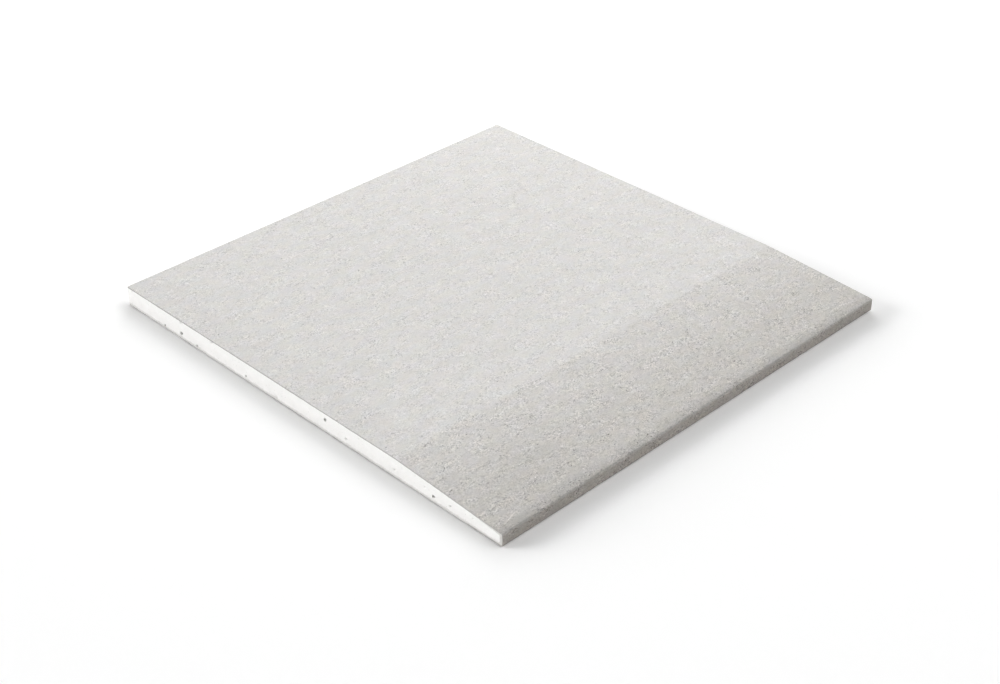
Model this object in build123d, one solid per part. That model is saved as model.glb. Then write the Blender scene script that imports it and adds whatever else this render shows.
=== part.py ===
from build123d import *
import os

# A square piece cut from a tapered-edge gypsum board, lying face up. Millimetres.
# X runs across the board, Y along its long edge, Z up. The origin is the middle of the underside.
# The long edge, with its taper and its wrapped paper, is at +X. The other three edges are plain cuts.

# The board
board_width = 300.0
board_length = 300.0
board_thickness = 12.5

# The taper of the face side along the long edge
taper_width = 74.0
taper_depth = 4.3
crease_radius = 90.0

# The long edge, rounded at the taper and where the paper folds under
arris_radius = 2.0
fold_radius = 1.2

# The papers: the face paper's flap is folded under the board and the back paper is glued over it
face_paper_thickness = 0.5
back_paper_thickness = 0.5
flap_width = 24.0
back_paper_setback = 5.0

# Places in the section, which is drawn in the XZ plane and runs the whole board length
left_x = -board_width / 2
right_x = board_width / 2
crease_x = right_x - taper_width
edge_top_z = board_thickness - taper_depth


def rectangle(low, high):
    """A rectangle of the section, from its lowest to its highest corner."""
    return Pos((low[0] + high[0]) / 2, (low[1] + high[1]) / 2) * Rectangle(high[0] - low[0], high[1] - low[1])


def round_corner(section, corner, radius):
    """The section with the corner nearest to that place rounded."""
    nearest = section.vertices().sort_by_distance(Vector(*corner, 0))[0]
    return fillet(nearest, radius)


def wrapped_section():
    """All that the face paper goes round, paper included, on top of the back paper. It runs on past the cut edge."""
    past_cut_x = left_x - board_thickness
    fold = (right_x, back_paper_thickness)
    arris = (right_x, edge_top_z)
    crease = (crease_x, board_thickness)
    section = Polygon(
        (past_cut_x, back_paper_thickness), fold, arris, crease, (past_cut_x, board_thickness), align=None
    )
    section = round_corner(section, fold, fold_radius)
    section = round_corner(section, arris, arris_radius)
    return round_corner(section, crease, crease_radius)


def inside_paper_section():
    """What the face paper leaves for the core, were it folded under the whole board."""
    return offset(wrapped_section(), -face_paper_thickness, kind=Kind.INTERSECTION)


def face_paper_section():
    """The band from the cut edge over the face, the taper and the long edge to the end of the flap."""
    flap_end_x = right_x - flap_width
    flap_top_z = back_paper_thickness + face_paper_thickness
    band = wrapped_section() - inside_paper_section()
    past_cut = rectangle((left_x - 2 * board_thickness, -board_thickness), (left_x, 2 * board_thickness))
    no_flap = rectangle((left_x - board_thickness, 0), (flap_end_x, flap_top_z))
    return band - past_cut - no_flap


def core_section():
    """All the room between the papers."""
    room = rectangle((left_x, back_paper_thickness), (right_x, board_thickness))
    return (wrapped_section() & room) - face_paper_section()


def back_paper_section():
    """The back liner, which stops short of the long edge."""
    return rectangle((left_x, 0), (right_x - back_paper_setback, back_paper_thickness))


def along_board(section):
    """The solid that the section gives over the whole board length."""
    return extrude(Plane.XZ * section, board_length / 2, both=True)


def gypsum_core():
    return along_board(core_section())


def face_paper():
    return along_board(face_paper_section())


def back_paper():
    return along_board(back_paper_section())


os.makedirs("parts", exist_ok=True)
export_step(gypsum_core(), "parts/gypsum_core.step")
export_step(face_paper(), "parts/face_paper.step")
export_step(back_paper(), "parts/back_paper.step")
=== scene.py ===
import math

import bpy
import numpy as np
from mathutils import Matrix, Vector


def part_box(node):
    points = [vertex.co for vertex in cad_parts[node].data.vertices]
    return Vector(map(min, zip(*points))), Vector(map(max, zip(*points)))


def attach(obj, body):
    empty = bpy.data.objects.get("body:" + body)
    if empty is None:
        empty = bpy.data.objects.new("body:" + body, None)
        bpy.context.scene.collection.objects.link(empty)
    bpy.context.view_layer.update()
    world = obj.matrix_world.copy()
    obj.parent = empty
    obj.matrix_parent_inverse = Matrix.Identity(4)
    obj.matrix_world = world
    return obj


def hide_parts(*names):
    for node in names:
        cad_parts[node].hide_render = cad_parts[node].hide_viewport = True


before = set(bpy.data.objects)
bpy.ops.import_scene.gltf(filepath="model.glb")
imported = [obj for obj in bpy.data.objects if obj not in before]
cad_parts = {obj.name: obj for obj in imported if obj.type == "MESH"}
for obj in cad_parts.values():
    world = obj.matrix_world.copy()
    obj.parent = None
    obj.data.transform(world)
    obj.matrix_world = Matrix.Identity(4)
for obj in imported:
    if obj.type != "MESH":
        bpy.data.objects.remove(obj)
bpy.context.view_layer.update()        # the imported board: gypsum_core, face_paper, back_paper
print("frame loaded")

mm = 0.001        # the script works in metres
touching = 0.001 * mm        # places closer than this are the same

# Places that the pieces share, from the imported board: X across it, Y along its long edge, Z up
paperLow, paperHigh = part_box("face_paper")
backLow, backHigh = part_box("back_paper")
leftX, frontY, foldZ = paperLow
rightX, backY, topZ = paperHigh
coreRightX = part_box("gypsum_core")[1][0]

# The section that the CAD carries along the board
board = {
    "taperWidth": 74 * mm,
    "taperDepth": 4.3 * mm,
    "creaseRadius": 40 * mm,        # the three turns are sharper than the CAD's, as the photo shows them
    "arrisRadius": 0.7 * mm,
    "foldRadius": 0.8 * mm,
    "paper": 0.5 * mm,        # how thick the face paper is
    "flap": 24 * mm,        # how far it runs on under the board
}
creaseX = rightX - board["taperWidth"]
arrisZ = topZ - board["taperDepth"]
flapX = rightX - board["flap"]


# Camera and colour

camera = {
    "azimuth": 45.88,        # degrees round from the front cut face
    "elevation": 33.22,
    "lookAt": (6.5 * mm, -44.05 * mm, 0.0),
    "distance": 959.8 * mm,
    "lens": 62.195,
    "sensor": 36.0,
    "shift": 0.0482,        # the photo is cropped off the middle by this share of its width
    "clip": (0.01, 200.0),        # metres to the nearest and to the farthest thing that it sees
}


def addObject(name, data):
    made = bpy.data.objects.new(name, data)
    bpy.context.scene.collection.objects.link(made)
    return made


def directionTo(azimuth, elevation):
    # one metre from the middle: degrees round from the front cut face, and degrees up
    around, up = math.radians(azimuth), math.radians(elevation)
    return math.sin(around) * math.cos(up), -math.cos(around) * math.cos(up), math.sin(up)


def turnBack(azimuth, elevation):
    # the turn of a camera or a lamp that stands in that direction and points back
    return math.pi / 2 - math.radians(elevation), 0, math.radians(azimuth)


def addCamera():
    look = camera
    data = bpy.data.cameras.new("camera")
    data.sensor_width, data.lens, data.shift_x = look["sensor"], look["lens"], look["shift"]
    data.clip_start, data.clip_end = look["clip"]
    eye = addObject("camera", data)
    back = directionTo(look["azimuth"], look["elevation"])
    eye.location = [at + look["distance"] * step for at, step in zip(look["lookAt"], back)]
    eye.rotation_euler = turnBack(look["azimuth"], look["elevation"])
    bpy.context.scene.camera = eye


addCamera()
bpy.context.scene.view_settings.view_transform = "Standard"
print("camera set")


# Node helpers for the materials

def addNode(tree, kind, inputs=None, **settings):
    # inputs are numbers, colours or sockets to link, by the input's name or place
    made = tree.nodes.new("ShaderNode" + kind)
    for name, value in settings.items():
        setattr(made, name, value)
    for key, value in (inputs or {}).items():
        if isinstance(value, bpy.types.NodeSocket):
            tree.links.new(value, made.inputs[key])
        else:
            made.inputs[key].default_value = value
    return made


def calc(tree, operation, *values):
    return addNode(tree, "Math", dict(enumerate(values)), operation=operation).outputs[0]


def vectorCalc(tree, operation, one, other, output="Vector"):
    return addNode(tree, "VectorMath", {0: one, 1: other}, operation=operation).outputs[output]


def scaled(tree, place, factor):
    return addNode(tree, "VectorMath", {0: place, "Scale": factor}, operation="SCALE").outputs[0]


def fade(tree, value, low, high, toLow=0.0, toHigh=1.0):
    # toLow below low, toHigh above high, a smooth step in between
    inputs = {0: value, 1: low, 2: high, 3: toLow, 4: toHigh}
    return addNode(tree, "MapRange", inputs, interpolation_type="SMOOTHSTEP").outputs[0]


def within(tree, distance, reach, full):
    # 1 up to that full share of the reach, 0 past the reach
    return fade(tree, distance, calc(tree, "MULTIPLY", reach, full), reach, 1.0, 0.0)


def eitherWay(tree, chance, reach):
    # a value from 0 to 1 spread over -reach to reach
    return calc(tree, "MULTIPLY_ADD", chance, 2 * reach, -reach)


def mixColour(tree, share, one, other, blend="MIX"):
    inputs = {0: share, 6: one, 7: other}        # the places that the node has for colours
    return addNode(tree, "Mix", inputs, data_type="RGBA", blend_type=blend).outputs[2]


def newGroup(name, takes, gives):
    # a shader node group; takes and gives hold its sockets' names and kinds
    tree = bpy.data.node_groups.new(name, "ShaderNodeTree")
    for label, kind in takes.items():
        tree.interface.new_socket(name=label, in_out="INPUT", socket_type="NodeSocket" + kind)
    for label, kind in gives.items():
        tree.interface.new_socket(name=label, in_out="OUTPUT", socket_type="NodeSocket" + kind)
    return tree, tree.nodes.new("NodeGroupInput").outputs, tree.nodes.new("NodeGroupOutput").inputs


def addGroup(tree, group, inputs):
    return addNode(tree, "Group", inputs, node_tree=group).outputs


# Effects that more than one of the board's materials uses, or that one uses more than once

effects = {
    "fibreMiddle": 0.4,        # how much of a fibre's half width is at full strength
    "fibreBody": 0.7,        # and of its half length
    "fibreBend": 0.5,        # how far either way the given bend goes
    "spotMiddle": 0.5,        # how much of a spot's radius is at full strength
    "smallestSpot": 0.3,        # the smallest radius, as a share of the given one
    "strandMiddle": 0.3,        # how much of a strand's half width is at full strength
    "cloudReach": 2.0,        # how far either way a cloud could go
    "cloudSpan": 0.8,        # how far most of it goes
}


def scatter(tree, given):
    # a lattice with one scattered point in each cell: the place, the nearest point and its three chances
    local = scaled(tree, given["Place"], calc(tree, "DIVIDE", 1.0, given["Cell"]))
    nearest = addNode(tree, "TexVoronoi", {"Vector": local, "Scale": 1.0}, voronoi_dimensions="2D").outputs
    return local, nearest, addNode(tree, "SeparateColor", {0: nearest["Color"]}).outputs


def makeFibreField():
    # one fibre in each cell: the place beside the cell's own point is turned by the cell's own angle and
    # bent, then masked by its distance from the fibre's middle line and from the fibre's middle
    takes = {"Place": "Vector", "Cell": "Float", "Length": "Float", "Width": "Float", "Bend": "Float"}
    tree, given, out = newGroup("fibreField", takes, {"Fibre": "Float", "Tone": "Float"})
    local, nearest, chance = scatter(tree, given)
    away = vectorCalc(tree, "SUBTRACT", local, nearest["Position"])
    angle = calc(tree, "MULTIPLY", chance[0], math.tau)
    turned = addNode(tree, "VectorRotate", {"Vector": away, "Angle": angle}, rotation_type="Z_AXIS")
    along, beside, _ = addNode(tree, "SeparateXYZ", {0: turned.outputs[0]}).outputs
    bend = calc(tree, "MULTIPLY", eitherWay(tree, chance[1], effects["fibreBend"]), given["Bend"])
    curve = calc(tree, "MULTIPLY", calc(tree, "MULTIPLY", along, along), bend)
    offset = calc(tree, "ABSOLUTE", calc(tree, "ADD", beside, curve))
    narrow = within(tree, offset, given["Width"], effects["fibreMiddle"])
    short = within(tree, calc(tree, "ABSOLUTE", along), given["Length"], effects["fibreBody"])
    tree.links.new(calc(tree, "MULTIPLY", narrow, short), out["Fibre"])
    tree.links.new(eitherWay(tree, chance[2], 1.0), out["Tone"])
    return tree


def makeSpeckle():
    # small round spots, one in each cell, in a share of the cells
    takes = {"Place": "Vector", "Cell": "Float", "Radius": "Float", "Share": "Float"}
    tree, given, out = newGroup("speckle", takes, {"Spot": "Float"})
    _, nearest, chance = scatter(tree, given)
    smallest = effects["smallestSpot"]
    size = calc(tree, "MULTIPLY_ADD", chance[1], 1 - smallest, smallest)
    radius = calc(tree, "MULTIPLY", given["Radius"], size)
    spot = within(tree, nearest["Distance"], radius, effects["spotMiddle"])
    kept = calc(tree, "LESS_THAN", chance[0], given["Share"])
    tree.links.new(calc(tree, "MULTIPLY", spot, kept), out["Spot"])
    return tree


def makeCloud():
    # soft uneven patches around 0
    takes = {"Place": "Vector", "Size": "Float", "Detail": "Float"}
    tree, given, out = newGroup("cloud", takes, {"Cloud": "Float"})
    scale = calc(tree, "DIVIDE", 1.0, given["Size"])
    inputs = {"Vector": given["Place"], "Scale": scale, "Detail": given["Detail"]}
    noise = addNode(tree, "TexNoise", inputs, noise_dimensions="3D").outputs[0]
    tree.links.new(eitherWay(tree, noise, effects["cloudReach"]), out["Cloud"])
    return tree


def makeStrand():
    # one straight strand: a soft line around the stretch between two places, by the distance from its nearest
    # point, which is (beside . run) / (run . run) of the way along it
    takes = {"Place": "Vector", "From": "Vector", "To": "Vector", "Width": "Float"}
    tree, given, out = newGroup("strand", takes, {"Strand": "Float"})
    run = vectorCalc(tree, "SUBTRACT", given["To"], given["From"])
    beside = vectorCalc(tree, "SUBTRACT", given["Place"], given["From"])
    reach = vectorCalc(tree, "DOT_PRODUCT", beside, run, "Value")
    whole = vectorCalc(tree, "DOT_PRODUCT", run, run, "Value")
    share = addNode(tree, "Math", {0: reach, 1: whole}, operation="DIVIDE", use_clamp=True).outputs[0]
    away = vectorCalc(tree, "DISTANCE", beside, scaled(tree, run, share), "Value")
    tree.links.new(within(tree, away, given["Width"], effects["strandMiddle"]), out["Strand"])
    return tree


fibreField = makeFibreField()
speckle = makeSpeckle()
cloud = makeCloud()
strand = makeStrand()
print("shared effects made")


# Shapes, worked out as whole arrays

surfaces = {
    "sharpAngle": math.radians(45),        # edges that turn by more than this look sharp
    "smallestPit": 0.4,        # the smallest radius, as a share of the given one
    "chances": 4096,        # how many random draws the cells pick from
    "cellSteps": (73, 911),        # how far on the next column's and the next row's cells pick
}


def smoothStep(low, high, value):
    # 0 below low, 1 above high, 3t^2 - 2t^3 in between
    t = np.clip((value - low) / (high - low), 0, 1)
    return t * t * (3 - 2 * t)


def bumpy(u, v, feature, seed):
    # random heights on a lattice of that feature size, joined by smooth steps along u and v
    u, v = np.broadcast_arrays(np.asarray(u) / feature, np.asarray(v) / feature)
    column, row = np.floor(u).astype(int), np.floor(v).astype(int)
    i, j = column - column.min(), row - row.min()
    height = np.random.default_rng(seed).normal(size=(i.max() + 2, j.max() + 2))
    a, b = smoothStep(0, 1, u - column), smoothStep(0, 1, v - row)
    near = height[i, j] * (1 - b) + height[i, j + 1] * b
    far = height[i + 1, j] * (1 - b) + height[i + 1, j + 1] * b
    return near * (1 - a) + far * a


def layered(u, v, layers, seed):
    # height * (share * bumpy + share * bumpy ...), one for each feature size, each with the next seed
    height, features = layers
    return height * sum(share * bumpy(u, v, size, seed + k) for k, (size, share) in enumerate(features))


def pitted(u, v, pits, seed):
    # one round pit in each cell of a lattice, at a random place, in a share of the cells:
    # depth = 1 - (distance / its radius)^2, the deepest where pits meet
    cell, radius, smallest = pits["cell"], pits["radius"], surfaces["smallestPit"]
    count, (columnStep, rowStep) = surfaces["chances"], surfaces["cellSteps"]
    chance = np.random.default_rng(seed).random((4, count))
    column, row = np.floor(u / cell).astype(int), np.floor(v / cell).astype(int)
    depth = np.zeros(np.broadcast(u, v).shape)
    for i in (-1, 0, 1):
        for j in (-1, 0, 1):
            pick = ((column + i) * columnStep + (row + j) * rowStep) % count
            besideU = u - (column + i + chance[0][pick]) * cell
            besideV = v - (row + j + chance[1][pick]) * cell
            size = radius * (smallest + (1 - smallest) * chance[2][pick])
            here = 1 - (besideU**2 + besideV**2) / size**2
            depth = np.maximum(depth, np.where(chance[3][pick] < pits["share"], here, 0) * size / radius)
    return depth


def evenly(low, high, step):
    # places from low to high, about a step apart
    return np.linspace(low, high, round((high - low) / step) + 1)


def quads(index):
    # the faces of a grid of vertex numbers, each with its corners in turn
    corners = [index[:-1, :-1], index[:-1, 1:], index[1:, 1:], index[1:, :-1]]
    return np.stack(corners, axis=-1).reshape(-1, 4).tolist()


def makePiece(name, points, faces, node):
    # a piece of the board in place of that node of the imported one
    mesh = bpy.data.meshes.new(name)
    mesh.from_pydata(points.reshape(-1, 3).tolist(), [], faces)
    mesh.shade_smooth()
    mesh.set_sharp_from_angle(angle=surfaces["sharpAngle"])
    piece = addObject(name, mesh)
    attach(piece, "root")
    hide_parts(node)
    return piece


def giveVectors(piece, name, vectors):
    # one vector for each point, which the material reads by that name
    attribute = piece.data.attributes.new(name, "FLOAT_VECTOR", "POINT")
    attribute.data.foreach_set("vector", vectors.astype(np.float32).ravel())


# The face paper: one section with rounded turns, carried along the board, with the paper's own unevenness

facePaper = {
    # how far apart the points are on the face, the taper, the long edge and the flap
    "steps": (1.2 * mm, 1.1 * mm, 0.5 * mm, 4 * mm),
    "arcPoints": (8, 9, 7),        # round the crease, the arris and the fold
    "innerEvery": 8,        # the inside takes every eighth point of the outside
    "rowStep": 1.25 * mm,        # along the board
    # unevenness: height, then feature sizes with their shares
    "wave": (0.05 * mm, [(46 * mm, 0.7), (15 * mm, 0.4)]),
    "felt": (0.014 * mm, [(2.7 * mm, 1.0), (5.1 * mm, 0.7)]),
    "knife": (0.03 * mm, [(6 * mm, 1.0), (1.6 * mm, 1.0)]),
    "arrisWobble": 0.13 * mm,
    "arrisReach": 2.5 * mm,        # how far from the arris it goes
    "arrisLong": 9 * mm,        # feature sizes: along the arris alone, and a finer one all over
    "arrisFine": 2.6 * mm,
    "arrisFineShare": 0.8,
    "foldFade": 1 * mm,        # the unevenness ends this close to the fold
    "seeds": {"wave": 1, "felt": 3, "arris": 5, "ends": 7, "side": 9},
}


def roundedPath(corners, radii, steps, arcPoints):
    # straight runs between the corners, and at each inner corner an arc that touches both runs: it starts
    # radius * tan(turn / 2) before the corner, and its middle lies one radius inside the run
    corners = np.array(corners)
    runs = np.diff(corners, axis=0)
    heading = runs / np.linalg.norm(runs, axis=1)[:, None]
    outward = np.stack([-heading[:, 1], heading[:, 0]], axis=1)
    turns = np.arccos(np.clip(np.sum(heading[:-1] * heading[1:], axis=1), -1, 1))
    cuts = np.array(radii) * np.tan(turns / 2)
    starts = corners[:-1] + heading * np.append(0, cuts)[:, None]
    ends = corners[1:] - heading * np.append(cuts, 0)[:, None]
    points, normals = [], []
    for k, step in enumerate(steps):
        count = math.ceil(np.linalg.norm(ends[k] - starts[k]) / step)
        points.append(np.linspace(starts[k], ends[k], count + 1))
        normals.append(np.tile(outward[k], (count + 1, 1)))
        if k < len(turns):
            first = math.atan2(outward[k][1], outward[k][0])
            angles = first - turns[k] * np.arange(1, arcPoints[k]) / arcPoints[k]
            around = np.stack([np.cos(angles), np.sin(angles)], axis=1)
            points.append(ends[k] - outward[k] * radii[k] + around * radii[k])
            normals.append(around)
    return np.concatenate(points), np.concatenate(normals)


sectionCorners = [(leftX, topZ), (creaseX, topZ), (rightX, arrisZ), (rightX, foldZ), (flapX, foldZ)]
sectionRadii = [board["creaseRadius"], board["arrisRadius"], board["foldRadius"]]
section, sectionOut = roundedPath(sectionCorners, sectionRadii, facePaper["steps"], facePaper["arcPoints"])
innerSection = section - sectionOut * board["paper"]
sectionAt = np.append(0, np.cumsum(np.linalg.norm(np.diff(section, axis=0), axis=1)))


def turnAt(degrees):
    # how far along the section its outward direction has turned by that much from upright
    return float(np.interp(-math.cos(math.radians(degrees)), -sectionOut[:, 1], sectionAt))


# About the middles of the three turns: in degrees from upright, then as places round the section
slopeAngle = math.degrees(math.atan2(board["taperDepth"], board["taperWidth"]))
turnMiddles = [slopeAngle / 2, 45, 135]
creaseAt, arrisAt, foldAt = [turnAt(degrees) for degrees in turnMiddles]


def paperRelief(s, y):
    # waves + felt + the arris's wobble * e^-(distance / reach)^2, all of it up to the fold;
    # s is the place round the section, and y along the board
    look, seeds = facePaper, facePaper["seeds"]
    relief = layered(s, y, look["wave"], seeds["wave"])
    relief = relief + layered(s, y, look["felt"], seeds["felt"])
    fine = bumpy(s, y, look["arrisFine"], seeds["arris"] + 1)
    wobble = bumpy(0, y, look["arrisLong"], seeds["arris"]) + look["arrisFineShare"] * fine
    near = np.exp(-((s - arrisAt) / look["arrisReach"]) ** 2)
    relief = relief + look["arrisWobble"] * near * wobble
    return relief * (1 - smoothStep(foldAt - look["foldFade"], foldAt + look["foldFade"], s))


def makeFacePaper():
    # outside = section(s) + outward(s) * relief(s, y)
    # inside = section(s) - outward(s) * paper, on fewer points
    look, seeds = facePaper, facePaper["seeds"]
    rows = evenly(frontY, backY, look["rowStep"])
    s, y = np.meshgrid(sectionAt, rows)
    relief = paperRelief(s, y)
    outerX = section[:, 0] + sectionOut[:, 0] * relief
    outerZ = section[:, 1] + sectionOut[:, 1] * relief
    turning = np.flatnonzero(np.abs(np.diff(sectionOut, axis=0)).sum(axis=1))
    every = np.arange(0, len(section), look["innerEvery"])
    kept = np.unique(np.concatenate([every, turning, turning + 1, [len(section) - 1]]))[::-1]
    innerX, innerY = np.meshgrid(innerSection[kept, 0], rows)
    innerZ = 0 * innerX + innerSection[kept, 1]
    outside, inside = np.stack([outerX, y, outerZ], -1), np.stack([innerX, innerY, innerZ], -1)
    points = np.concatenate([outside, inside], axis=1)
    # the knife's line along the two cut ends and the cut side
    around = np.append(sectionAt, sectionAt[kept])
    endLine = np.abs(layered(around, 0, look["knife"], seeds["ends"]))
    sideLine = np.abs(layered(rows, 0, look["knife"], seeds["side"]))
    points[0, :, 1] += endLine
    points[-1, :, 1] -= endLine
    points[:, [0, -1], 0] += sideLine[:, None]
    outer, count = len(section), len(section) + len(kept)
    index = np.arange(len(rows) * count).reshape(len(rows), count)
    sheet = quads(np.column_stack([index, index[:, :1]]))

    def rim(row):
        # between the outside and the inside of one end, a face for each point of the inside
        spans = zip(range(outer + 1, count), kept[:-1], kept[1:])
        return [[row[k], row[k - 1], *row[low:high + 1][::-1]] for k, high, low in spans]

    faces = sheet + rim(index[0].tolist()) + [face[::-1] for face in rim(index[-1].tolist())]
    piece = makePiece("facePaper", points, faces, "face_paper")
    # the paper laid flat: round the section and along the board
    flat = np.stack([np.tile(around, (len(rows), 1)), points[..., 1], 0 * points[..., 1]], -1)
    giveVectors(piece, "paperPlace", flat)
    # the faces of the paper's thickness: the two ends, the left side and the flap's side
    cut = np.zeros(len(faces), np.int32)
    cut[len(sheet):] = 1
    cut[count - 1:len(sheet):count] = 1
    cut[outer - 1:len(sheet):count] = 1
    return piece, cut


facePaperPiece, facePaperCut = makeFacePaper()
print("face paper made")


# The core and the back paper: blocks with cut walls at the front, left and back, and a plain right side

walls = {"leftStrip": 4 * mm}        # at the top and the bottom, how much beside the left wall is one face


def overCuts(values, deep):
    # values that go across the board, over the front cut, the left one and the back one
    return np.concatenate([values[::-1], np.full(len(deep), values[0]), values])


def standWall(across, low, high, step, levels):
    # the wall runs from the front right corner over the front, the left and the back; each of its points
    # stands at a share v of the height between low and high
    deep = evenly(frontY, backY, step)[1:-1]
    x, lowest, highest = overCuts(across, deep), overCuts(low, deep), overCuts(high, deep)
    y = np.concatenate([np.full(len(across), frontY), deep, np.full(len(across), backY)])
    along = np.append(0, np.cumsum(np.hypot(np.diff(x), np.diff(y))))
    v = np.linspace(0, 1, levels)[:, None] + 0 * x
    wall = {"x": x + 0 * v, "y": y + 0 * v, "along": along + 0 * v, "v": v}
    wall["z"] = lowest + (highest - lowest) * v
    wall["outX"] = np.concatenate([0 * across, 0 * deep - 1, 0 * across])
    wall["outY"] = np.concatenate([0 * across - 1, 0 * deep, 0 * across + 1])
    return wall


def closeWall(wall, depth, across):
    # the wall's points pressed in by depth; its right side, and the top and the bottom as ladders from the
    # front to the back, with one face over the strip beside the left wall
    x, y = wall["x"] - wall["outX"] * depth, wall["y"] - wall["outY"] * depth
    index = np.arange(x.size).reshape(x.shape)
    faces = quads(np.column_stack([index, index[:, :1]])[::-1])
    ladder = int(np.sum(across > across[0] + walls["leftStrip"]))
    for row, turn in ((index[-1], 1), (index[0], -1)):
        faces += quads(np.stack([row[:ladder], row[::-1][:ladder]])[:, ::-turn])
        faces.append(row[ladder - 1:len(row) - ladder + 1][::-turn].tolist())
    return np.stack([x, y, wall["z"]], -1), faces


core = {
    "step": 0.375 * mm,        # between the points along the cuts
    "levels": 33,        # points one above the other
    "recess": 0.03 * mm,        # how far the cuts lie inside the papers
    # unevenness: height, then feature sizes with their shares
    "grain": (0.03 * mm, [(0.8 * mm, 1.0), (1.9 * mm, 0.8)]),
    "hollows": (0.02 * mm, [(7 * mm, 1.0), (23 * mm, 1.0)]),
    "smallPits": {"depth": 0.2 * mm, "cell": 2.4 * mm, "radius": 0.55 * mm, "share": 0.45},
    # big pits are on the left and the back cut only
    "bigPits": {"depth": 1.6 * mm, "cell": 14 * mm, "radius": 1.1 * mm, "share": 0.3},
    "seeds": {"grain": 11, "hollows": 13, "smallPits": 15, "bigPits": 16},
    "smallPitShade": 0.3,        # painted shade: how dark small pits are beside big ones
    "pitShadeDepth": 1.6,        # millimetres, the depth at which a pore's painted shade is darkest
    # pores on the front cut, in millimetres: across the board, up, radius, depth
    "pores": [
        (-99.8, 4.0, 1.0, 2.6), (-115.5, 2.1, 0.7, 1.2), (-85.8, 2.3, 0.7, 1.2), (-59.6, 4.6, 0.6, 0.25),
        (-42.7, 3.2, 0.65, 1.2), (22.6, 8.1, 0.95, 2.6), (38.7, 4.4, 0.8, 0.7), (48.5, 9.6, 0.5, 0.7),
        (102.9, 3.9, 0.95, 2.4), (74.9, 4.9, 0.65, 0.8), (114.7, 4.5, 0.7, 0.8), (96.8, 6.3, 0.5, 0.5),
        (130.2, 6.2, 0.5, 0.5), (139.0, 4.4, 0.5, 0.5), (-146.1, 11.0, 0.6, 0.6), (-17.1, 2.4, 1.2, 0.4),
        (-71.8, 11.2, 0.8, 0.8), (-99.6, 11.2, 0.85, 0.6), (-20.5, 10.4, 0.5, 0.4),
    ],
}


def cutSurface(wall):
    # how deep the cuts are pressed in: recess + grain + hollows + pits + pores, and how much painted shade
    # each point gets in a pit; a pore is half a ball stretched to its depth: depth * sqrt(1 - (distance /
    # radius)^2)
    look, seeds = core, core["seeds"]
    along, z = wall["along"], wall["z"]
    depth = look["recess"] + layered(along, z, look["grain"], seeds["grain"])
    depth = depth + layered(along, z, look["hollows"], seeds["hollows"])
    front = wall["y"] < frontY + touching
    small = pitted(along, z, look["smallPits"], seeds["smallPits"])
    big = np.sqrt(pitted(along, z, look["bigPits"], seeds["bigPits"])) * ~front
    depth = depth + look["smallPits"]["depth"] * small + look["bigPits"]["depth"] * big
    pitShade = np.maximum(look["smallPitShade"] * small, big)
    for poreX, poreZ, radius, deepness in look["pores"]:
        ring = ((wall["x"] - poreX * mm) ** 2 + (z - poreZ * mm) ** 2) / (radius * mm) ** 2
        here = np.sqrt(np.clip(1 - ring, 0, 1)) * front
        depth = depth + deepness * mm * here
        pitShade = np.maximum(pitShade, here * min(1.0, deepness / look["pitShadeDepth"]))
    return np.maximum(depth, 0), pitShade


def makeCore():
    # the core fills the room inside the face paper and above the back paper
    across = evenly(leftX, coreRightX, core["step"])
    upright = np.flatnonzero(innerSection[:, 0] > coreRightX - touching)
    top, under = innerSection[:upright[0] + 1], innerSection[upright[-1]:][::-1]
    high = np.interp(across, top[:, 0], top[:, 1])
    low = np.where(across < flapX, backHigh[2], np.interp(across, under[:, 0], under[:, 1]))
    wall = standWall(across, low, high, core["step"], core["levels"])
    depth, pitShade = cutSurface(wall)
    points, faces = closeWall(wall, depth, across)
    piece = makePiece("gypsumCore", points, faces, "gypsum_core")
    # the painted shade in pits, and how far from the paper above and from the paper at the right, in
    # millimetres
    z = wall["z"]
    giveVectors(piece, "cutMarks", np.stack([pitShade, (z[-1] - z) / mm, (coreRightX - wall["x"]) / mm], -1))
    return piece


gypsumCorePiece = makeCore()
print("core made")


backPaper = {
    "step": 0.6 * mm,        # between the points along the cuts
    "levels": 6,        # points one above the other
    "round": 0.35 * mm,        # how far its cuts round under
    # height, then feature sizes with their shares
    "fray": (0.12 * mm, [(4 * mm, 1.0), (1.3 * mm, 1.0)]),
    "seed": 21,
}


def makeBackPaper():
    # a slab whose cut walls round under towards the floor: pressed in by round * (1 - v)^2 + a frayed line
    look = backPaper
    across = evenly(backLow[0], backHigh[0], look["step"])
    low, high = 0 * across + backLow[2], 0 * across + backHigh[2]
    wall = standWall(across, low, high, look["step"], look["levels"])
    fray = np.abs(layered(wall["along"], 0, look["fray"], look["seed"]))
    points, faces = closeWall(wall, look["round"] * (1 - wall["v"]) ** 2 + fray, across)
    return makePiece("backPaper", points, faces, "back_paper")


backPaperPiece = makeBackPaper()
print("back paper made")


# Materials, with their patterns in millimetres

specular = 0.2        # all of the board is matte


def newMaterial(name, look):
    material = bpy.data.materials.new(name)
    material.use_nodes = True
    tree = material.node_tree
    surface = tree.nodes["Principled BSDF"]
    surface.inputs["Roughness"].default_value = look["roughness"]
    surface.inputs["Specular IOR Level"].default_value = specular
    return material, tree, surface


def placeInMillimetres(tree, attribute=None):
    # the piece's own coordinates, or the vectors that its points carry
    if attribute:
        source = addNode(tree, "Attribute", attribute_name=attribute).outputs["Vector"]
    else:
        source = addNode(tree, "TexCoord").outputs["Object"]
    return scaled(tree, source, 1 / mm)


def patches(tree, place, kind):
    # kind: size in millimetres, detail
    size, detail = kind
    return addGroup(tree, cloud, {"Place": place, "Size": size, "Detail": detail})["Cloud"]


def swing(tree, place, kind, toLow=0.0, toHigh=1.0):
    # patches of that kind that go from toLow to toHigh
    return fade(tree, patches(tree, place, kind), -effects["cloudSpan"], effects["cloudSpan"], toLow, toHigh)


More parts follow.
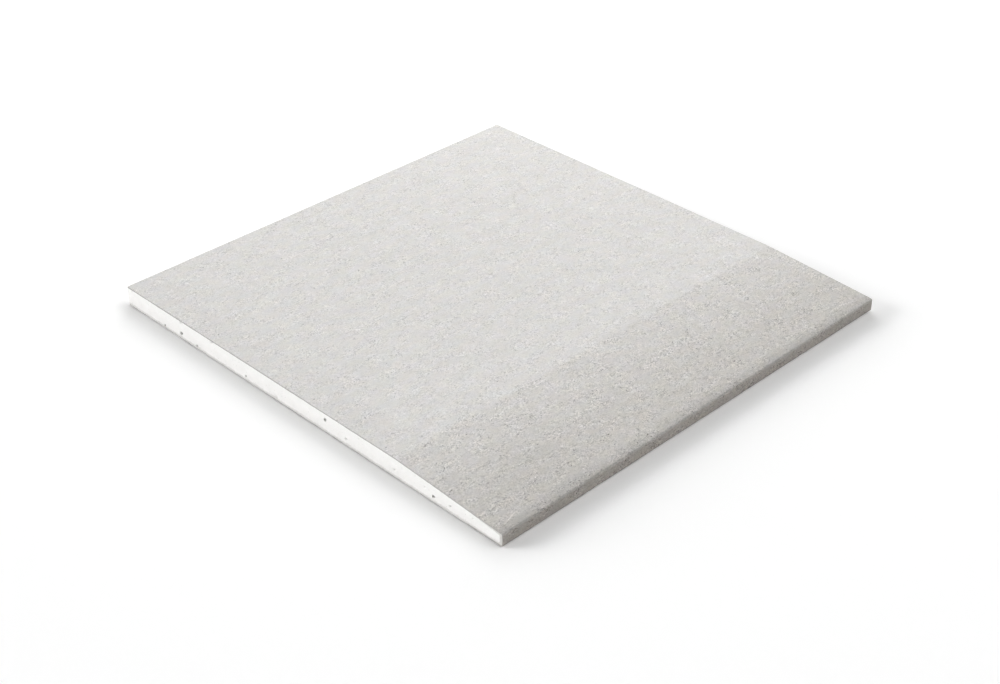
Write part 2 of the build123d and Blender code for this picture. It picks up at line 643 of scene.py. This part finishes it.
def specks(tree, place, kind):
    # kind: lattice cell in millimetres, radius in cells, share of the cells that have a spot
    cell, radius, share = kind
    return addGroup(tree, speckle, {"Place": place, "Cell": cell, "Radius": radius, "Share": share})["Spot"]


def fibres(tree, place, kind):
    # kind: lattice cell in millimetres, then half length, half width and bend in cells
    cell, length, width, bend = kind
    shape = {"Place": place, "Cell": cell, "Length": length, "Width": width, "Bend": bend}
    made = addGroup(tree, fibreField, shape)
    return made["Fibre"], made["Tone"]


def shade(tree, colour, factor):
    # the colour made lighter or darker by a factor
    grey = addNode(tree, "CombineColor", {0: factor, 1: factor, 2: factor}).outputs[0]
    return mixColour(tree, 1.0, colour, grey, "MULTIPLY")


def finish(tree, surface, colour, height, look):
    tree.links.new(colour, surface.inputs["Base Color"])
    inputs = {"Strength": look["bump"], "Distance": look["bumpHeight"], "Height": height}
    tree.links.new(addNode(tree, "Bump", inputs).outputs[0], surface.inputs["Normal"])


paperFinish = {
    "roughness": 0.88,
    "bump": 0.3,
    "bumpHeight": 0.06 * mm,
    # four colours, and where each starts and is full, in millimetres past the crease or the arris
    "colour": (0.708, 0.695, 0.679, 1),
    "slope": (0.682, 0.6645, 0.643, 1),        # past the crease; warmer, and darker as painted shade of the turned taper
    "slopeFade": (-0.7, 2.1),
    "outer": (0.61, 0.59, 0.563, 1),        # towards the arris; warmer, and darker as painted shade falling off across the taper
    "outerFade": (8.0, -12.0),        # starts past the crease, full before the arris
    "edge": (0.545, 0.511, 0.471, 1),        # on the long edge; darker partly as painted shade of the side that faces away from the lamps
    "edgeFade": (0.6, 1.7),
    "edgeFray": 0.6,        # how uneven the line along the arris is
    "fray": (4.0, 4.0),        # its patches: size in millimetres, detail
    # how strong the grain is
    "contrast": 0.15,        # on the flat face
    "slopeContrast": 0.21,        # past the crease
    "outerContrast": 0.02,        # on top of that towards the arris
    "edgeContrast": 0.04,        # and on the long edge
    "skew": -0.15,        # below 0, dark marks are stronger than light ones
    "busy": (9.0, 2.0),        # patches that differ in strength, between the next two factors
    "busyRange": (0.4, 1.6),
    # the grain: fine and soft patches, and four layers of fibres
    "stretch": (1.25, 0.77, 1.0),        # the fibres lie a little more along the board than across it
    "fine": (0.75, 1.0),
    "fineStrength": 0.6,
    "soft": (2.6, 2.0),
    "softStrength": 0.35,
    # each layer: lattice cell in millimetres, then half length, half width and bend in cells, and strength
    "fibres": [
        ((3.2, 0.46, 0.085, 0.9), 0.8),
        ((2.1, 0.48, 0.125, 1.1), 0.9),
        ((1.4, 0.50, 0.19, 1.3), 1.0),
        ((0.95, 0.55, 0.28, 1.5), 1.0),
    ],
    "layerShift": (13.7, 7.1),        # millimetres from one layer to the next
    "broad": (13.0, 4.0),        # broad light and dark patches
    "broadStrength": 0.035,
    # single light hairs, as a layer of fibres
    "hairs": (8.0, 0.3, 0.03, 1.6),
    "hairTone": 0.2,        # only those with a lighter tone than this, from -1 to 1
    "hairStrength": 0.12,
    # dark, black and light specks: cell in millimetres, radius in cells, share of the cells, and strength
    "specks": [((4.5, 0.09, 0.4), -0.28), ((22.0, 0.028, 0.4), -0.45), ((6.5, 0.07, 0.35), 0.2)],
    # long light fibres near the front corner: from and to, round the section and along the board
    "strands": [((295.6, -143.9, 0), (292.6, -134.1, 0)), ((283.7, -148.7, 0), (283.2, -144.8, 0))],
    "strandWidth": 0.5,
    "strandLight": 0.23,
    # painted shade, in millimetres across or along the board
    "paintedArrisShade": 0.8,        # painted shade: the paper is darker by this factor on the arris and the long edge
    "arrisFade": 9.0,
    "paintedCornerShade": 0.045,        # painted shade: how much darker the taper is towards the front corner
    "paintedCornerShadeFrom": -60.0,        # along the board
    "paintedCornerShadeFade": 40.0,        # all of it this much nearer to the front, and this much past the crease
    "frontStrip": 0.03,        # painted shade: how much darker the face is along the front cut
    "frontStripFrom": -118.0,
    "frontStripFade": 24.0,
    # slight colour patches: size in millimetres and detail, then the two colours they go between
    "tint": (11.0, 5.0),
    "tintColours": ((1.008, 0.997, 1.004, 1), (0.992, 1.003, 0.994, 1)),
    "warmth": (7.0, 5.0),
    "warmthColours": ((1.006, 1.0, 0.978, 1), (0.994, 1.0, 1.022, 1)),
}
creaseMark, arrisMark = creaseAt / mm, arrisAt / mm        # in millimetres, as the patterns are


def shifted(tree, place, number):
    # the place for that layer of the pattern, so that no two layers fall together
    across, along = paperFinish["layerShift"]
    return vectorCalc(tree, "ADD", place, (across * number, along * number, 0))


def paperZones(tree, at, place):
    # from 0 to 1 past the crease, towards the arris and on the long edge
    look = paperFinish
    slope = fade(tree, at, creaseMark + look["slopeFade"][0], creaseMark + look["slopeFade"][1])
    outer = fade(tree, at, creaseMark + look["outerFade"][0], arrisMark + look["outerFade"][1])
    frayed = calc(tree, "MULTIPLY_ADD", patches(tree, place, look["fray"]), look["edgeFray"], at)
    edge = fade(tree, frayed, arrisMark + look["edgeFade"][0], arrisMark + look["edgeFade"][1])
    return slope, outer, edge


def paperGrain(tree, place):
    # fine patches, then the layers of fibres, each fibre lighter or darker by its own tone, then soft patches
    look = paperFinish
    grain = calc(tree, "MULTIPLY", patches(tree, place, look["fine"]), look["fineStrength"])
    for number, (kind, strength) in enumerate(look["fibres"]):
        fibre, tone = fibres(tree, shifted(tree, place, number), kind)
        grain = calc(tree, "MULTIPLY_ADD", calc(tree, "MULTIPLY", fibre, tone), strength, grain)
    return calc(tree, "MULTIPLY_ADD", patches(tree, place, look["soft"]), look["softStrength"], grain)


def paperPattern(tree, place, grain, zones):
    # how light each place is by its grain, whose strength goes by zone and by patch, and by broad patches
    look = paperFinish
    slope, outer, edge = zones
    contrast = calc(tree, "MULTIPLY_ADD", slope, look["slopeContrast"] - look["contrast"], look["contrast"])
    contrast = calc(tree, "MULTIPLY_ADD", outer, look["outerContrast"], contrast)
    contrast = calc(tree, "MULTIPLY_ADD", edge, look["edgeContrast"], contrast)
    skewed = calc(tree, "MULTIPLY_ADD", calc(tree, "MULTIPLY", grain, grain), look["skew"], grain)
    skewed = calc(tree, "MULTIPLY", skewed, swing(tree, place, look["busy"], *look["busyRange"]))
    factor = calc(tree, "MULTIPLY_ADD", skewed, contrast, 1.0)
    return calc(tree, "MULTIPLY_ADD", patches(tree, place, look["broad"]), look["broadStrength"], factor)


def paperMarks(tree, factor, place, unstretched):
    # single hairs, specks and the long light fibres
    look = paperFinish
    hair, tone = fibres(tree, place, look["hairs"])
    hair = calc(tree, "MULTIPLY", hair, calc(tree, "GREATER_THAN", tone, look["hairTone"]))
    factor = calc(tree, "MULTIPLY_ADD", hair, look["hairStrength"], factor)
    for kind, strength in look["specks"]:
        factor = calc(tree, "MULTIPLY_ADD", specks(tree, place, kind), strength, factor)
    for start, end in look["strands"]:
        shape = {"Place": unstretched, "From": start, "To": end, "Width": look["strandWidth"]}
        line = addGroup(tree, strand, shape)["Strand"]
        factor = calc(tree, "MULTIPLY_ADD", line, look["strandLight"], factor)
    return factor


def paperShading(tree, factor, at, along):
    # painted shade: darker at the arris, and a little darker towards the front corner and along the front cut
    look = paperFinish
    paintedArrisShade = fade(tree, at, arrisMark - look["arrisFade"], arrisMark, 1.0, look["paintedArrisShade"])
    factor = calc(tree, "MULTIPLY", factor, paintedArrisShade)
    full = look["paintedCornerShadeFrom"] - look["paintedCornerShadeFade"]
    paintedCornerShade = fade(tree, along, full, look["paintedCornerShadeFrom"], look["paintedCornerShade"], 0.0)
    onTaper = fade(tree, at, creaseMark, creaseMark + look["paintedCornerShadeFade"])
    paintedCornerShade = calc(tree, "MULTIPLY", paintedCornerShade, onTaper)
    # painted shade along the front cut
    full = look["frontStripFrom"] - look["frontStripFade"]
    strip = fade(tree, along, full, look["frontStripFrom"], look["frontStrip"], 0.0)
    darker = calc(tree, "MAXIMUM", paintedCornerShade, strip)
    return calc(tree, "MULTIPLY", factor, calc(tree, "SUBTRACT", 1.0, darker))


def paperColour(tree, place, zones):
    # each zone's colour over the one before it, their darkening partly painted shade, with slight patches of
    # other hues
    look = paperFinish
    colour = look["colour"]
    for zone, name in zip(zones, ("slope", "outer", "edge")):
        colour = mixColour(tree, zone, colour, look[name])
    last = shifted(tree, place, len(look["fibres"]) - 1)
    tinted = mixColour(tree, swing(tree, place, look["tint"]), *look["tintColours"])
    warmed = mixColour(tree, swing(tree, last, look["warmth"]), *look["warmthColours"])
    return mixColour(tree, 1.0, colour, mixColour(tree, 1.0, tinted, warmed, "MULTIPLY"), "MULTIPLY")


def facePaperMaterial():
    look = paperFinish
    material, tree, surface = newMaterial("facePaper", look)
    unstretched = placeInMillimetres(tree, "paperPlace")
    at, along, _ = addNode(tree, "SeparateXYZ", {0: unstretched}).outputs
    place = vectorCalc(tree, "MULTIPLY", unstretched, look["stretch"])
    zones = paperZones(tree, at, place)
    grain = paperGrain(tree, place)
    factor = paperPattern(tree, place, grain, zones)
    factor = paperMarks(tree, factor, place, unstretched)
    factor = paperShading(tree, factor, at, along)
    colour = paperColour(tree, place, zones)
    finish(tree, surface, shade(tree, colour, factor), grain, look)
    return material


# The face paper's cut thickness
rimFinish = {
    "roughness": 0.95,
    "bump": 0.5,
    "bumpHeight": 0.1 * mm,
    "colour": (0.41, 0.394, 0.377, 1),
    "grain": (0.5, 3.0),        # size in millimetres, detail
    "grainStrength": 0.14,
}


def cutPaperMaterial():
    look = rimFinish
    material, tree, surface = newMaterial("cutPaper", look)
    grain = patches(tree, placeInMillimetres(tree), look["grain"])
    factor = calc(tree, "MULTIPLY_ADD", grain, look["grainStrength"], 1.0)
    finish(tree, surface, shade(tree, look["colour"], factor), grain, look)
    return material


gypsumFinish = {
    "roughness": 0.95,
    "bump": 0.4,
    "bumpHeight": 0.08 * mm,
    "colour": (0.93, 0.922, 0.905, 1),
    "grain": (0.6, 4.0),        # size in millimetres, detail
    "grainStrength": 0.02,
    "soft": (5.0, 3.0),
    "softStrength": 0.025,
    "awayFromFront": 0.75,        # painted shade: how light the left and the back cut are beside the front one
    "awayFade": (1.0, 5.0),        # from and to, in millimetres behind the front cut
    # bands with frayed ends, in millimetres: how deep, how soft before and after that, and how frayed
    # a pale stain up from the bottom of the cut
    "stain": {"colour": (0.76, 0.747, 0.722, 1), "depth": 2.1, "soft": (0.5, 0.4), "fray": 1.0},
    # the torn paper at the bottom of the cut, darker partly as painted contact shadow along the floor
    "foot": {"colour": (0.37, 0.357, 0.338, 1), "depth": 0.68, "soft": (0.2, 0.2), "fray": 0.4},
    # the core's last layer beside the paper, and beside the wrapped edge, where it is thicker
    "glue": {"colour": (0.55, 0.54, 0.52, 1), "depth": 0.3, "soft": (0.15, 0.15), "fray": 0.3},
    "wrap": {"colour": (0.66, 0.645, 0.62, 1), "depth": 1.4, "soft": (0.3, 0.3), "fray": 0.5},
    "wrapTail": 0.06,        # how fast it thins out along the face
    "fray": (0.35, 0.8),        # how much of the fraying is soft patches, and how much is grain
    "freckles": (3.2, 0.12, 0.5),        # lattice cell in millimetres, radius in cells, share of the cells
    "freckleStrength": 0.45,
    # painted shade in the pits and pores
    "pitShade": (0.13, 0.125, 0.12, 1),
    "pitFade": (0.1, 0.8),        # from the rim of a pit to its darkest painted shade
}


def addBand(tree, colour, distance, frayed, band):
    # the band's own colour where the distance, made uneven, is less than its depth
    end = calc(tree, "MULTIPLY_ADD", frayed, band["fray"], distance)
    before, after = band["soft"]
    share = fade(tree, end, band["depth"] - before, band["depth"] + after, 1.0, 0.0)
    return mixColour(tree, share, colour, band["colour"])


def gypsumMaterial():
    look = gypsumFinish
    material, tree, surface = newMaterial("gypsum", look)
    place = placeInMillimetres(tree)
    marks = addNode(tree, "Attribute", attribute_name="cutMarks").outputs["Vector"]
    pitShade, under, inside = addNode(tree, "SeparateXYZ", {0: marks}).outputs
    across, along, height = addNode(tree, "SeparateXYZ", {0: place}).outputs
    # along the cuts and up, for the freckles, which stand flat on them
    facing = addNode(tree, "CombineXYZ", {0: calc(tree, "ADD", across, along), 1: height}).outputs[0]
    grain, soft = patches(tree, place, look["grain"]), patches(tree, place, look["soft"])
    factor = calc(tree, "MULTIPLY_ADD", soft, look["softStrength"], 1.0)
    factor = calc(tree, "MULTIPLY_ADD", grain, look["grainStrength"], factor)
    # painted shade on the left and the back cut
    behind = [frontY / mm + distance for distance in look["awayFade"]]
    factor = calc(tree, "MULTIPLY", factor, fade(tree, along, *behind, 1.0, look["awayFromFront"]))
    colour = shade(tree, look["colour"], factor)
    softShare, grainShare = look["fray"]
    frayed = calc(tree, "MULTIPLY_ADD", soft, softShare, calc(tree, "MULTIPLY", grain, grainShare))
    colour = addBand(tree, colour, height, frayed, look["stain"])
    # the foot: torn paper, and painted contact shadow along the floor
    colour = addBand(tree, colour, height, frayed, look["foot"])
    freckles = calc(tree, "MULTIPLY", specks(tree, facing, look["freckles"]), look["freckleStrength"])
    colour = mixColour(tree, freckles, colour, look["glue"]["colour"])
    wrapped = calc(tree, "MINIMUM", inside, calc(tree, "MULTIPLY_ADD", inside, look["wrapTail"], under))
    colour = addBand(tree, colour, wrapped, frayed, look["wrap"])
    colour = addBand(tree, colour, under, frayed, look["glue"])
    # painted shade in the pits and pores
    colour = mixColour(tree, fade(tree, pitShade, *look["pitFade"]), colour, look["pitShade"])
    finish(tree, surface, colour, grain, look)
    return material


linerFinish = {
    "roughness": 0.92,
    "bump": 0.3,
    "bumpHeight": 0.06 * mm,
    "colour": (0.60, 0.585, 0.56, 1),
    "contrast": 0.08,
    # two layers of fibres: lattice cell in millimetres, then half length, half width and bend in cells
    "fibres": [(2.0, 0.5, 0.07, 1.1), (1.1, 0.55, 0.14, 1.4)],
    "grain": (0.8, 3.0),        # size in millimetres, detail
    "grainStrength": 0.5,
    "broad": (16.0, 3.0),
    "broadStrength": 0.02,
    "tornAndContactShade": 0.43,        # torn paper and painted contact shadow: how light its cut sides are beside its underside
    "tornAndContactShadeFrom": 0.1,        # millimetres up from the floor
}


def backPaperMaterial():
    look = linerFinish
    material, tree, surface = newMaterial("backPaper", look)
    place = placeInMillimetres(tree)
    total = calc(tree, "MULTIPLY", patches(tree, place, look["grain"]), look["grainStrength"])
    for kind in look["fibres"]:
        total = calc(tree, "MULTIPLY_ADD", *fibres(tree, place, kind), total)
    factor = calc(tree, "MULTIPLY_ADD", patches(tree, place, look["broad"]), look["broadStrength"], 1.0)
    factor = calc(tree, "MULTIPLY_ADD", total, look["contrast"], factor)
    height = addNode(tree, "SeparateXYZ", {0: place}).outputs[2]
    # the cut sides darker than the underside: torn paper, and painted contact shadow along the floor
    factor = calc(tree, "MULTIPLY", factor, fade(tree, height, 0.0, look["tornAndContactShadeFrom"], 1.0, look["tornAndContactShade"]))
    finish(tree, surface, shade(tree, look["colour"], factor), total, look)
    return material


facePaperPiece.data.materials.append(facePaperMaterial())
facePaperPiece.data.materials.append(cutPaperMaterial())
facePaperPiece.data.polygons.foreach_set("material_index", facePaperCut)
gypsumCorePiece.data.materials.append(gypsumMaterial())
backPaperPiece.data.materials.append(backPaperMaterial())
print("materials made")


# Floor, world and lamps

studio = {
    "floorSide": 60.0,        # metres
    "floorBounce": 0.85,        # how much light the floor gives back to the board
    "floorSeen": 1.055,        # how light it looks to the camera
    "softness": 30.0,        # degrees across each far lamp
    # far lamps: name, azimuth and elevation that each shines from, strength
    "farLamps": [
        ("frontLeft", 315.0, 15.0, 2.611),
        ("frontLeftHigh", 315.0, 35.0, 0.302),
        ("left", 270.0, 15.0, 0.751),
        ("backLeft", 225.0, 35.0, 0.682),
        ("back", 180.0, 35.0, 0.471),
        ("backRight", 135.0, 35.0, 0.481),
        ("backRightHigh", 135.0, 55.0, 0.986),
        ("right", 90.0, 15.0, 0.261),
    ],
    # a lamp near the back left corner; its distance from the middle and its own radius are in metres
    "nearLamp": {"azimuth": 225.0, "elevation": 20.0, "watts": 6.3, "distance": 0.75, "radius": 0.2},
}


def addFloor():
    side = studio["floorSide"] / 2
    corners = [(-side, -side, 0), (side, -side, 0), (side, side, 0), (-side, side, 0)]
    mesh = bpy.data.meshes.new("floor")
    mesh.from_pydata(corners, [], [(0, 1, 2, 3)])
    floor = addObject("floor", mesh)
    material = bpy.data.materials.new("floor")
    material.use_nodes = True
    tree = material.node_tree
    tree.nodes.remove(tree.nodes["Principled BSDF"])
    seen = addNode(tree, "LightPath").outputs["Is Camera Ray"]
    bounce, shown = studio["floorBounce"], studio["floorSeen"]
    colour = mixColour(tree, seen, (bounce, bounce, bounce, 1), (shown, shown, shown, 1))
    surface = addNode(tree, "BsdfDiffuse", {0: colour})
    tree.links.new(surface.outputs[0], tree.nodes["Material Output"].inputs[0])
    mesh.materials.append(material)


def addSky():
    # white to the camera, dark to the board, which the lamps light
    world = bpy.data.worlds.new("studio")
    bpy.context.scene.world = world
    world.use_nodes = True
    tree = world.node_tree
    background = tree.nodes["Background"]
    background.inputs[0].default_value = (1, 1, 1, 1)
    tree.links.new(addNode(tree, "LightPath").outputs["Is Camera Ray"], background.inputs[1])


def addLamp(name, kind, azimuth, elevation):
    data = bpy.data.lights.new(name, kind)
    lamp = addObject(name, data)
    lamp.rotation_euler = turnBack(azimuth, elevation)
    return lamp


def addLamps():
    for name, azimuth, elevation, strength in studio["farLamps"]:
        lamp = addLamp(name, "SUN", azimuth, elevation)
        lamp.data.energy, lamp.data.angle = strength, math.radians(studio["softness"])
    look = studio["nearLamp"]
    lamp = addLamp("near", "POINT", look["azimuth"], look["elevation"])
    lamp.data.energy, lamp.data.shadow_soft_size = look["watts"], look["radius"]
    lamp.location = [look["distance"] * step for step in directionTo(look["azimuth"], look["elevation"])]


addFloor()
addSky()
addLamps()
print("studio made")
